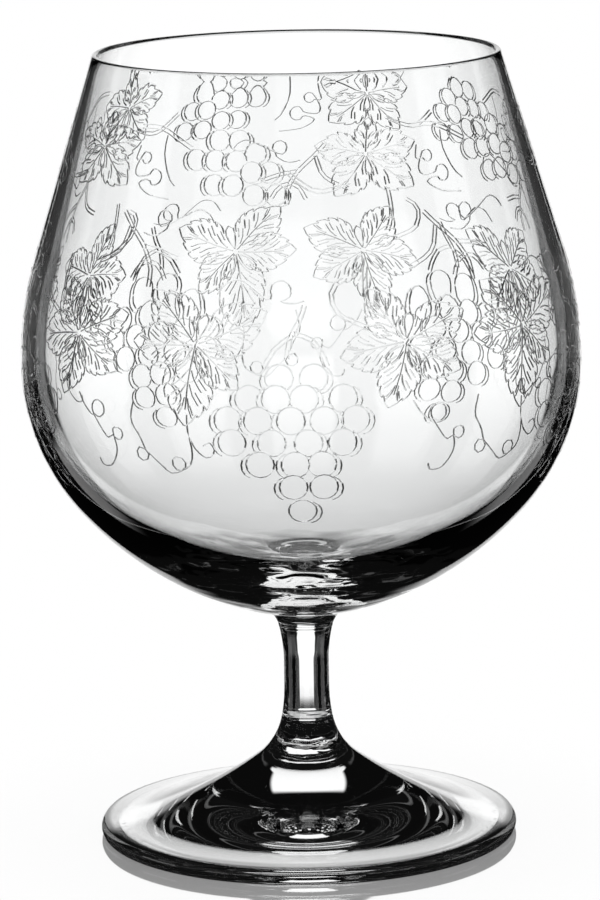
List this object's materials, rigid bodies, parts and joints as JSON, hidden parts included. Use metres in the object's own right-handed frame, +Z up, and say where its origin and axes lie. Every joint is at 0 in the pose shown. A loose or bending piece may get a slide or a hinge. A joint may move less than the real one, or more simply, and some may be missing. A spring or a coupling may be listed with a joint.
{
  "type": "brandy snifter",
  "caption": "Clear crystal brandy snifter: a wide bowl narrowing to the rim, etched with grapevines, on a short waisted stem and a round foot.",
  "frame": {"origin": "centre of the foot on the table, under the glass's axis", "axes": "+Z up along the axis of revolution, towards the rim; -Y faces the viewer of the picture"},
  "size_m": [0.106, 0.106, 0.1505],
  "materials": {
    "bowl_glass": "clear polished crystal, outer wall needle-etched with grapevines",
    "stem_glass": "clear polished crystal",
    "foot_glass": "clear polished crystal"
  },
  "bodies": {
    "root": {"bowl": "bowl_glass", "stem": "stem_glass", "foot": "foot_glass"}
  },
  "joints": []
}
